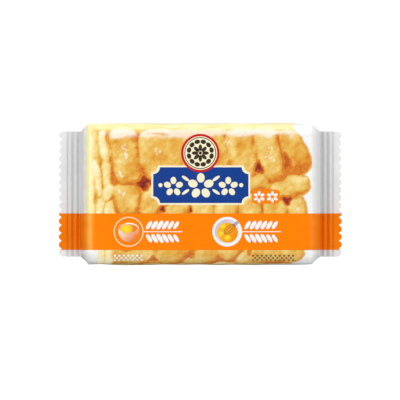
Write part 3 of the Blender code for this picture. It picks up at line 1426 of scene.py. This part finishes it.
    def shade(self, fields: Fields, x: Array, s: Array) -> Fields:
        """Turn the pile into print.

        Args:
            fields: The pile's fields.
            x: Places along the pack, as a column.
            s: Places across it, as a row.

        Returns:
            The numbers that the print keeps at each vertex: tone, crust, glow, glint and ink.
        """
        step = self.step / MM
        inside = self.inside(fields, x, s)
        floor = np.maximum(np.maximum(self.darkest, self.rim_tone.at(inside)), self.top_tone.at(s))
        tone = np.maximum(self.lit(fields, x, s), floor)
        gap, core = blurred(fields["gap"], self.gap_blur, step), blurred(fields["core"], self.core_blur, step)
        start, fall, core_fall = self.gap_tones
        inner_tone = start - fall * gap - core_fall * core
        gap = np.clip(self.gap_gain * gap, 0, 1)
        streaks = self.streak_level + layered_noise(x / self.streak_stretch, s, self.streaks)
        return {
            "tone": np.clip(tone + (inner_tone - tone) * gap, 0.0, 1.0),
            "crust": np.clip(blurred(fields["crust"], self.crust_blur, step) * (1 - gap), 0, 1),
            # Glow: painted highlight at the left end, and along the top partly print, partly painted
            # highlight.
            "glow": np.maximum(self.top_glow.at(s) * streaks, self.left_glow.at(x)),
            "glint": self.glints(fields, x, s),
            "ink": np.clip(inside / self.ink_edge + 0.5, 0.0, 1.0) * self.left_ink.at(x),
        }

    def glints(self, fields: Fields, x: Array, s: Array) -> Array:
        """Small bright streaks on the highest strips.

        Args:
            fields: The pile's fields.
            x: Places along the pack, as a column.
            s: Places across it, as a row.

        Returns:
            How white each place is, from 0 to 1.
        """
        rng = np.random.default_rng(self.seed + 1)
        found = np.zeros_like(fields["height"])
        for shine in self.shines:
            middle = (*shine, rng.uniform(*self.shine_lean))
            for _ in range(self.shine_marks):
                drawn = (mean + rng.normal(0, spread) for mean, spread in zip(middle, self.shine_spread))
                at_x, at_s, turn = drawn
                reach, half = (rng.uniform(0.0, most) for most in self.shine_size)
                along, across = turned(x - at_x, s - at_s, turn)
                away = np.hypot(np.maximum(np.abs(along) - reach, 0), across)
                mark = Ramp(rng.uniform(*self.shine_strength), half + self.shine_blur, half)
                found = np.maximum(found, mark.at(away))
        return found * self.shine_height.at(fields["height"])

    def build(self) -> None:
        """Make the picture on the film, wrapped over both long edges."""
        along, across = self.axes()
        x, s = along[:, None], across[None, :]
        lift = np.full((len(along), len(across)), Layer.PICTURE.value)
        lift[[0, -1], :] = lift[:, [0, -1]] = -Layer.PICTURE.value
        piece = new_mesh("picture_print", self.form.over(x, s, lift), grid_faces(*lift.shape))
        x, s = x / MM, s / MM
        for name, values in self.shade(self.pile(x, s), x, s).items():
            add_values(piece, name, values)
        add_grid_map(piece, *lift.shape)
        dress(piece, PICTURE, "printed picture of golden strips")


Outline = Array
Fade = Callable[[Array], Array]


def ellipse(x: float, y: float, wide: float, high: float, turn: float = 0.0, points: int = 48) -> Outline:
    """An ellipse's outline.

    Args:
        x: Its middle along the pack.
        y: Its middle across it.
        wide: Its half-width.
        high: Its half-height.
        turn: How far it is turned, in radians.
        points: How many points it has.

    Returns:
        Its points, anticlockwise.
    """
    angle = np.linspace(0, FULL_TURN, points, endpoint=False)
    u, v = turned(wide * np.cos(angle), high * np.sin(angle), -turn)
    return np.stack([x + u, y + v], -1)


def fading(x: float, y: float, reach: float, degrees: float) -> Fade:
    """A fade of ink that grows in one direction, over a reach to either side of a point."""
    way = np.array([math.cos(math.radians(degrees)), math.sin(math.radians(degrees))])
    return lambda flat: np.clip(0.5 + (flat - (x, y)) @ way / (2 * reach), 0.0, 1.0)


def outward(x: float, y: float, reach: float) -> Fade:
    """A fade of ink that grows from a point to a distance from it."""
    return lambda flat: np.clip(np.hypot(*(flat - (x, y)).T) / reach, 0.0, 1.0) ** 2


@dataclass
class Inks:
    """Shapes of one ink, which follow the film and make one piece. A fade gives a shape a second tone.

    The outer edge of each shape is sunk a little into the film.
    """

    form: PackForm
    name: str
    finish: FilmFinish
    layer: Layer
    places: list[Array] = field(default_factory=list)
    shades: list[Array] = field(default_factory=list)
    faces: list[list[int]] = field(default_factory=list)
    count: int = 0
    sink: float = 0.02 * MM
    bar_step: float = 0.8 * MM

    def _keep(self, loops: Sequence[Outline], sunk: Sequence[int], fade: Fade | None = None) -> int:
        """Add loops of points.

        Args:
            loops: The points, one array a loop.
            sunk: Which of the loops lie in the film.
            fade: The ink's second tone, if any.

        Returns:
            The first point's number.
        """
        first, flat = self.count, np.concatenate(loops)
        lifts = [np.zeros(len(loop)) for loop in loops]
        for number in sunk:
            lifts[number] -= self.layer.value + self.sink
        self.places.append(self.form.over(flat[:, 0], flat[:, 1], self.layer.value + np.concatenate(lifts)))
        self.shades.append(fade(flat) if fade else np.zeros(len(flat)))
        self.count += len(flat)
        return first

    def _bridge(self, first: int, loops: int, count: int) -> None:
        """Lay faces between loops with as many points each, from the first point's number on."""
        faces = np.roll(grid_faces(loops, count, wrap=True)[:, ::-1], 1, axis=1)
        self.faces.extend((faces + first).tolist())

    def ring(self, outer: Outline, inner: Outline, steps: int = 1) -> None:
        """Fill between two outlines with as many points each, by a number of rings of faces."""
        between = [outer * (1 - share) + inner * share for share in np.linspace(0, 1, steps + 1)]
        self._bridge(self._keep([outer, *between, inner], (0, -1)), steps + 3, len(outer))

    def fill(self, outline: Outline, steps: int = 4, fade: Fade | None = None) -> None:
        """Fill an outline that is star-shaped round its mean point.

        Args:
            outline: Its points, anticlockwise.
            steps: How many rings of faces it has.
            fade: The ink's second tone, if any.
        """
        centre, count = outline.mean(axis=0), len(outline)
        loops = [centre + (outline - centre) * (1 - k / steps) for k in range(steps)]
        first = self._keep([outline, *loops, centre[None, :]], (0,), fade)
        self._bridge(first, steps + 1, count)
        last, middle = first + steps * count, first + (steps + 1) * count
        self.faces.extend([last + k, last + (k + 1) % count, middle] for k in range(count))

    def bar(self, start: Sequence[float], end: Sequence[float], half: float) -> None:
        """Draw a straight bar.

        Args:
            start: One end of its middle line.
            end: The other end.
            half: Half its width.
        """
        run = np.subtract(end, start)
        long = float(np.linalg.norm(run))
        count = max(1, round(long / self.bar_step)) + 1
        along = np.array(start) + run * np.linspace(0, 1, count)[:, None]
        side = half * np.array([-run[1], run[0]]) / long
        first = self._keep([along + side, along + side, along - side, along - side], (0, -1))
        self.faces.extend((grid_faces(4, count) + first).tolist())

    def build(self, note: str) -> None:
        """Join the shapes into their piece.

        Args:
            note: What it is, for the log.
        """
        piece = new_mesh(self.name, np.concatenate(self.places), self.faces, sharp=30.0)
        add_values(piece, "press_and_shade", np.concatenate(self.shades))
        dress(piece, self.finish, note)


@dataclass
class Motif:
    """A group of printed shapes round a middle of its own, in metres.

    Its methods take millimetres, counted to the right and up from that middle.
    """

    form: PackForm
    x: float
    y: float

    def at(self, right: float, up: float) -> Pair:
        """A place of the motif, in metres."""
        return self.x + right * MM, self.y + up * MM

    def oval(self, right: float, up: float, wide: float, high: float, turn: float, points: int) -> Outline:
        """An ellipse's outline at a place of the motif, with its half-width and half-height."""
        return ellipse(*self.at(right, up), wide * MM, high * MM, turn, points)

    def disc(self, radius: float, points: int) -> Outline:
        """A circle's outline round the motif's middle."""
        return self.oval(0, 0, radius, radius, 0, points)

    def inks(self, name: str, finish: FilmFinish, layer: Layer) -> Inks:
        """Start a piece of one ink."""
        return Inks(self.form, name, finish, layer)

    def complete(self, inks: Inks, note: str, outline: Outline, steps: int, fade: Fade | None = None) -> None:
        """Fill the last or only shape of a piece, and make the piece."""
        inks.fill(outline, steps, fade)
        inks.build(note)

    def wreath(
        self, inks: Inks, middle: Pair, count: int, first: float, far: float, size: Pair, points: int = 20
    ) -> None:
        """Add a ring of ellipses that point outward.

        Args:
            inks: The piece to add them to.
            middle: The ring's middle.
            count: How many ellipses there are.
            first: Which way the first one points, in radians.
            far: How far their middles lie from the ring's.
            size: Their half-lengths, outward and round.
            points: How many points each has.
        """
        for k in range(count):
            turn = first + FULL_TURN * k / count
            right, up = middle[0] + far * math.cos(turn), middle[1] + far * math.sin(turn)
            inks.fill(self.oval(right, up, *size, turn, points), 2)

    def blossom(self, inks: Inks, right: float, up: float, size: float, petals: int = 5) -> None:
        """Add petals round an open middle, the first one upright."""
        petal = (0.36 * size, 1.45 * size / petals)
        self.wreath(inks, (right, up), petals, QUARTER_TURN, 0.62 * size, petal)


@dataclass
class Plaque(Motif):
    """The blue panel in the middle of the front, with a cream rim and blossoms."""

    x: float = 0.2 * MM
    y: float = 3.4 * MM
    half_width: float = 18.4 * MM
    half_height: float = 6.9 * MM
    notch: float = 2.6 * MM
    rim: float = 0.75 * MM

    def outline(self, grow: float) -> Outline:
        """A rectangle with hollow corners.

        Args:
            grow: How far to move the outline out.

        Returns:
            Its points, anticlockwise.
        """
        size = np.array([self.half_width + grow, self.half_height + grow])
        corners = np.array(((1, 1), (-1, 1), (-1, -1), (1, -1))) * size
        points = []
        for number, corner in enumerate(corners):
            arc = QUARTER_TURN * (number - 1) - np.linspace(0, QUARTER_TURN, 9)
            points.append(corner + np.stack([np.cos(arc), np.sin(arc)], -1) * self.notch)
            target = corners[(number + 1) % 4]
            away = (target - corner) / np.linalg.norm(target - corner) * self.notch
            begin, end = corner + away, target - away
            points.append(begin + (end - begin) * np.linspace(0, 1, 24)[1:-1, None])
        return np.concatenate(points) + np.array([self.x, self.y])

    def build(self) -> None:
        """Make the panel, its rim and its blossoms."""
        rim = self.inks("plaque_rim", CREAM_INK, Layer.FIELD)
        self.complete(rim, "cream rim of the blue panel", self.outline(self.rim), 12)
        panel = self.inks("plaque_blue", BLUE_INK, Layer.SHAPE)
        self.complete(panel, "blue panel", self.outline(0.0), 12)
        flowers = self.inks("plaque_blossoms", CREAM_INK, Layer.DETAIL)
        self.blossom(flowers, 0, -0.4, 5.2)
        for side in (-1, 1):
            self.blossom(flowers, side * 10.6, -0.6, 3.9)
            for lean in (-1, 1):
                flowers.fill(self.oval(side * 5.9, lean * 2.6, 1.7, 0.6, side * lean * 0.6, 20), 2)
            flowers.fill(self.oval(side * 15.6, 0, 0.8, 0.8, 0, 20), 2)
        flowers.build("cream blossoms on the panel")


@dataclass
class Rosette(Motif):
    """The round badge above the panel: a red rim, a cream ground and a dark flower in a ring of strokes."""

    x: float = 0.0
    y: float = 15.8 * MM

    def build(self) -> None:
        """Make the badge's inks."""
        red = self.inks("rosette_red", RED_INK, Layer.DETAIL)
        self.complete(red, "red badge", self.disc(7.4, 112), 8)
        cream = self.inks("rosette_cream", CREAM_INK, Layer.TOP)
        self.complete(cream, "cream middle of the badge", self.disc(6.512, 96), 7)
        dark = self.inks("rosette_motif", BROWN_INK, Layer.FINEST)
        dark.ring(self.disc(6.15, 72), self.disc(5.85, 72))
        self.wreath(dark, (0, 0), 12, FULL_TURN / 24, 4.5, (0.84, 1.08), 16)
        self.wreath(dark, (0, 0), 8, 0.0, 2.05, (1.28, 0.68), 16)
        self.complete(dark, "dark flower and strokes on the badge", self.disc(0.6, 16), 1)


@dataclass
class Tag(Motif):
    """The small orange tag beside the panel, with two white blossoms."""

    x: float = 25.3 * MM
    y: float = -1.0 * MM
    half_width: float = 5.4 * MM
    half_height: float = 2.75 * MM
    squareness: float = 6

    def outline(self) -> Outline:
        """A rectangle with round corners.

        Returns:
            Its points, anticlockwise.
        """
        angle = np.linspace(0, FULL_TURN, 96, endpoint=False)
        u, v, power = np.cos(angle), np.sin(angle), self.squareness
        reach = np.abs(u / self.half_width) ** power + np.abs(v / self.half_height) ** power
        far = 1 / reach ** (1 / power)
        return np.stack([self.x + far * u, self.y + far * v], -1)

    def build(self) -> None:
        """Make the tag's inks."""
        self.complete(self.inks("tag_orange", ORANGE_INK, Layer.FIELD), "orange tag", self.outline(), 6)
        flowers = self.inks("tag_blossoms", WHITE_INK, Layer.SHAPE)
        for side in (-1, 1):
            self.blossom(flowers, side * 2.55, -0.15, 2.35, 6)
        flowers.build("white blossoms on the tag")


@dataclass
class EggVignette(Motif):
    """A thin ring round half an eggshell with its yolk."""

    x: float = -27.7 * MM
    y: float = -14.6 * MM
    radius: float = 5.75
    broken: tuple[Pair, ...] = (
        (3.1, 0.5),
        (2.2, -0.2),
        (1.3, 0.1),
        (0.4, -0.5),
        (-0.4, -0.2),
        (-1.3, -0.8),
        (-2.2, -0.1),
        (-3.0, 0.3),
    )

    def arc(self, angle: Array, up: float, wide: float, high: float) -> Outline:
        """Part of an ellipse above the vignette's middle, in millimetres."""
        return np.stack([wide * np.cos(angle), up + high * np.sin(angle)], -1)

    def shell(self) -> Outline:
        """The front of the shell: a bowl with a broken upper edge."""
        bowl = self.arc(np.linspace(-1.06 * math.pi, 0.08 * math.pi, 33), 0.3, 3.95, 4.3)
        return np.concatenate([bowl, np.array(self.broken)]) * MM + self.at(0, 0)

    def far_rim(self) -> tuple[Outline, Outline]:
        """The lit edge of the shell's far side.

        Returns:
            Its outer and its inner arc, which meet at their ends.
        """
        angle = np.linspace(-0.16 * math.pi, 0.62 * math.pi, 25)
        outer, inner = self.arc(angle, 1.3, 3.9, 2.2), self.arc(angle, 1.2, 3.55, 1.75)
        outer[[0, -1]] = inner[[0, -1]]
        return outer * MM + self.at(0, 0), inner * MM + self.at(0, 0)

    def build(self) -> None:
        """Make the vignette's inks."""
        ring = self.inks("egg_ring", CREAM_INK, Layer.SHAPE)
        ring.ring(self.disc(self.radius, 96), self.disc(self.radius - 0.32, 96))
        ring.build("thin ring round the egg")
        inside = self.inks("egg_inside", SHELL_INK, Layer.SHAPE)
        shade = fading(*self.at(-1.0, 3.2), 2.4 * MM, -70)
        self.complete(inside, "inside of the eggshell", self.oval(0, 1.25, 3.85, 2.15, 0, 48), 4, shade)
        rim = self.inks("egg_rim", CREAM_INK, Layer.DETAIL)
        rim.ring(*self.far_rim())
        rim.build("lit rim of the eggshell")
        yolk = self.inks("egg_yolk", YOLK_INK, Layer.DETAIL)
        shade = outward(*self.at(-1.1, 1.2), 2.9 * MM)
        self.complete(yolk, "yolk in the shell", self.oval(-0.7, 0.9, 2.6, 1.75, 0.1, 40), 5, shade)
        shell = self.inks("egg_shell", SHELL_INK, Layer.TOP)
        shade = fading(*self.at(-0.4, -1.0), 3.2 * MM, -48)
        self.complete(shell, "front of the eggshell", self.shell(), 6, shade)


@dataclass
class BowlVignette(Motif):
    """A white bowl seen from above, with beaten egg, three yolks and a whisk."""

    x: float = 10.4 * MM
    y: float = -14.6 * MM
    radius: float = 5.75
    wall: float = 0.95
    yolks: tuple[Pair, ...] = ((-1.4, 1.9), (-2.2, -0.9), (0.3, -2.5))
    whisk_head: Pair = (0.9, 1.0)
    whisk_turn: float = math.radians(41)
    wire_half: float = 0.09
    wire_loops: Pair = (1.3, 0.5)

    def along_whisk(self, far: float) -> Pair:
        """A place on the whisk's middle line, in metres, some millimetres from its head's middle."""
        right, up = self.whisk_head
        return self.at(right + far * math.cos(self.whisk_turn), up + far * math.sin(self.whisk_turn))

    def build(self) -> None:
        """Make the vignette's inks."""
        bowl = self.inks("bowl_white", WHITE_INK, Layer.SHAPE)
        hollow = self.disc(self.radius - self.wall, 96)
        bowl.ring(self.disc(self.radius, 96), hollow, steps=2)
        bowl.build("white bowl from above")
        inside = self.inks("bowl_inside", BOWL_INK, Layer.SHAPE)
        self.complete(inside, "shaded inside of the bowl", hollow, 5, fading(self.x, self.y, 3.6 * MM, 140))
        pool = self.inks("bowl_pool", POOL_INK, Layer.DETAIL)
        shade = fading(*self.at(0.4, -0.6), 3.4 * MM, -30)
        self.complete(pool, "beaten egg in the bowl", self.oval(0.15, -0.35, 4.0, 3.9, 0, 64), 5, shade)
        yolks = self.inks("bowl_yolks", YOLK_INK, Layer.TOP)
        for right, up in self.yolks:
            shade = outward(*self.at(right - 0.3, up + 0.3), 1.6 * MM)
            yolks.fill(self.oval(right, up, 1.4, 1.32, 0, 28), 3, shade)
        yolks.build("yolks in the bowl")
        wires = self.inks("bowl_wires", WIRE_INK, Layer.FINEST)
        for half in self.wire_loops:
            wires.ring(*(
                self.oval(*self.whisk_head, 2.5 + grow, half + grow, self.whisk_turn, 40)
                for grow in (self.wire_half, -self.wire_half)
            ))
        wires.bar(self.along_whisk(2.2), self.along_whisk(2.5), 0.6 * MM)
        wires.build("wires of the whisk")
        grip = self.inks("bowl_whisk", GREY_INK, Layer.FINEST)
        grip.bar(self.along_whisk(2.2), self.along_whisk(4.3), 0.6 * MM)
        grip.build("grip of the whisk")


@dataclass
class Ears(Motif):
    """White ears of wheat beside the vignettes, with their stems as thin lines."""

    x: float = 0.0
    y: float = -14.6 * MM
    stems: tuple[Pair, ...] = ((-21.9, -6.9), (16.2, 31.2))
    stem_half: float = 0.16 * MM
    pitch: float = 2.1
    grain: Pair = (2.05, 0.84)
    grain_up: float = 2.55

    def build(self) -> None:
        """Make the ears in one ink."""
        inks = self.inks("ears_white", WHITE_INK, Layer.SHAPE)
        for start, end in self.stems:
            inks.bar(self.at(start, 0), self.at(end, 0), self.stem_half)
            for k in range(6):
                wide, high = (length * (1.0 - 0.05 * abs(k - 2)) for length in self.grain)
                for way in (-1, 1):
                    right = start + (k + 1) * self.pitch
                    inks.fill(self.oval(right, way * self.grain_up, wide, high, way * 1.0, 24), 2)
        inks.build("ears of wheat beside the vignettes")


@dataclass
class Marks(Motif):
    """A short dotted border near the lower edge of the front, in three staggered rows."""

    name: str
    finish: FilmFinish
    count: int
    pitch: float = 0.86
    row_pitch: float = 1.0
    dot: float = 0.46

    def build(self) -> None:
        """Make the border's dots."""
        inks = self.inks(self.name, self.finish, Layer.FIELD)
        for k in range(self.count):
            for up in (0.0,) if k % 2 else (-self.row_pitch, self.row_pitch):
                inks.fill(self.oval(k * self.pitch, up, self.dot, self.dot, 0, 14), 1)
        inks.build("dotted border")


@dataclass(frozen=True)
class Lamp:
    """One soft lamp that faces the pack, with its place, its two sizes in metres and its power in watts."""

    name: str
    place: tuple[float, float, float]
    size: Pair
    power: float

    def hang(self) -> None:
        """Add the lamp to the scene."""
        data = bpy.data.lights.new(self.name, "AREA")
        data.shape, data.energy = "RECTANGLE", self.power
        data.size, data.size_y = self.size
        lamp = bpy.data.objects.new(self.name, data)
        lamp.location = self.place
        direction = -lamp.location
        lamp.rotation_euler = direction.to_track_quat("-Z", "Y").to_euler()
        bpy.context.scene.collection.objects.link(lamp)


@dataclass
class Studio:
    """The pale floor, the soft lights and the camera."""

    form: PackForm
    metres_per_pixel: float = 0.3865 * MM
    image_pixels: int = 400
    centre_pixel: Pair = (200.3, 193.95)
    lens: float = 700.0
    sensor: float = 36.0
    floor_half: float = 1.2
    floor_drop: float = 0.2 * MM
    floor_tones: Pair = (0.33, 0.36)
    floor_glow: float = 0.9
    even_light: float = 0.13
    table_light: float = 0.60
    lamps: tuple[Lamp, ...] = (
        Lamp("soft_at_the_top", (0.05, 0.76, 0.34), (1.40, 0.70), 6.6),
        Lamp("key_at_the_left", (-0.42, 0.08, 0.60), (0.50, 0.36), 2.0),
        Lamp("low_at_the_left", (-0.70, 0.0, 0.32), (1.20, 0.60), 1.3),
        Lamp("fill_at_the_right", (0.72, -0.05, 0.40), (1.40, 0.90), 5.2),
        Lamp("fill_at_the_bottom", (0.0, -0.70, 0.42), (1.20, 0.80), 2.5),
    )

    def floor(self) -> None:
        """Lay the floor just under the pack."""
        half, low = self.floor_half, -self.floor_drop
        corners = [(-half, -half, low), (half, -half, low), (half, half, low), (-half, half, low)]
        piece = new_mesh("floor", np.array(corners), [[0, 1, 2, 3]])
        material = bpy.data.materials.new("pale_floor")
        graph = Graph(material)
        dark, pale = ((tone, tone, tone, 1) for tone in self.floor_tones)
        graph.fill(graph.shader, Base_Color=graph.mix(graph.noise(0.2), dark, pale), Roughness=0.9)
        graph.fill(graph.shader, Specular_IOR_Level=0.1, Emission_Strength=self.floor_glow)
        graph.fill(graph.shader, Emission_Color=(1.0, 1.0, 1.0, 1.0))
        piece.data.materials.append(material)
        piece.visible_diffuse = piece.visible_glossy = False

    def world(self) -> None:
        """Set the even light from all round, and the lit table's own light from below the top edge."""
        world = bpy.data.worlds.new("soft_studio")
        graph = Graph(world)
        way = graph.node("ShaderNodeSeparateXYZ")
        graph.fill(way, Vector=graph.node("ShaderNodeTexCoord").outputs["Generated"])
        upward = graph.maths("MULTIPLY_ADD", way.outputs["Y"], 3.0, 0.4, clamp=True)
        below = graph.maths("MULTIPLY", way.outputs["Z"], -1.6, clamp=True)
        both = graph.maths("MULTIPLY", upward, below)
        strength = graph.maths("MULTIPLY_ADD", both, self.table_light, self.even_light)
        graph.fill(graph.shader, Color=(1.0, 1.0, 1.0, 1.0), Strength=strength)
        bpy.context.scene.world = world

    def camera(self) -> None:
        """Look straight down on the printed front, as the photo does."""
        data = bpy.data.cameras.new("photo_camera")
        data.lens, data.sensor_width = self.lens, self.sensor
        data.clip_start, data.clip_end = 0.01, 20.0
        away = self.image_pixels * self.metres_per_pixel * self.lens / self.sensor
        middle = self.image_pixels / 2
        camera = bpy.data.objects.new("photo_camera", data)
        camera.location = (
            (middle - self.centre_pixel[0]) * self.metres_per_pixel,
            (self.centre_pixel[1] - middle) * self.metres_per_pixel,
            self.form.thickness + away,
        )
        bpy.context.scene.collection.objects.link(camera)
        bpy.context.scene.camera = camera

    def build(self) -> None:
        """Set the scene round the pack."""
        self.floor()
        self.world()
        for lamp in self.lamps:
            lamp.hang()
        self.camera()
        settings = bpy.context.scene.view_settings
        settings.view_transform, settings.look = "Standard", "None"
        settings.exposure, settings.gamma = 0.0, 1.0


def main() -> None:
    """Build the pack's pieces and the studio, to the solid's sizes."""
    logging.basicConfig(level=logging.INFO, format="%(name)s: %(message)s")
    low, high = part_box(NODE)
    form = PackForm(length=high.x - low.x, width=high.y - low.y, thickness=high.z - low.z)
    film = Film(form)
    film.build()
    Fin(film).build()
    Picture(form).build()
    Band(film).build()
    for motif in (Plaque, Rosette, Tag, EggVignette, BowlVignette, Ears):
        motif(form).build()
    Marks(form, -33.0 * MM, -24.9 * MM, "small_marks_white", WHITE_INK, 13).build()
    Marks(form, 20.4 * MM, -24.9 * MM, "small_marks_dark", OCHRE_INK, 19).build()
    Studio(form).build()


if __name__ == "__main__":
    main()
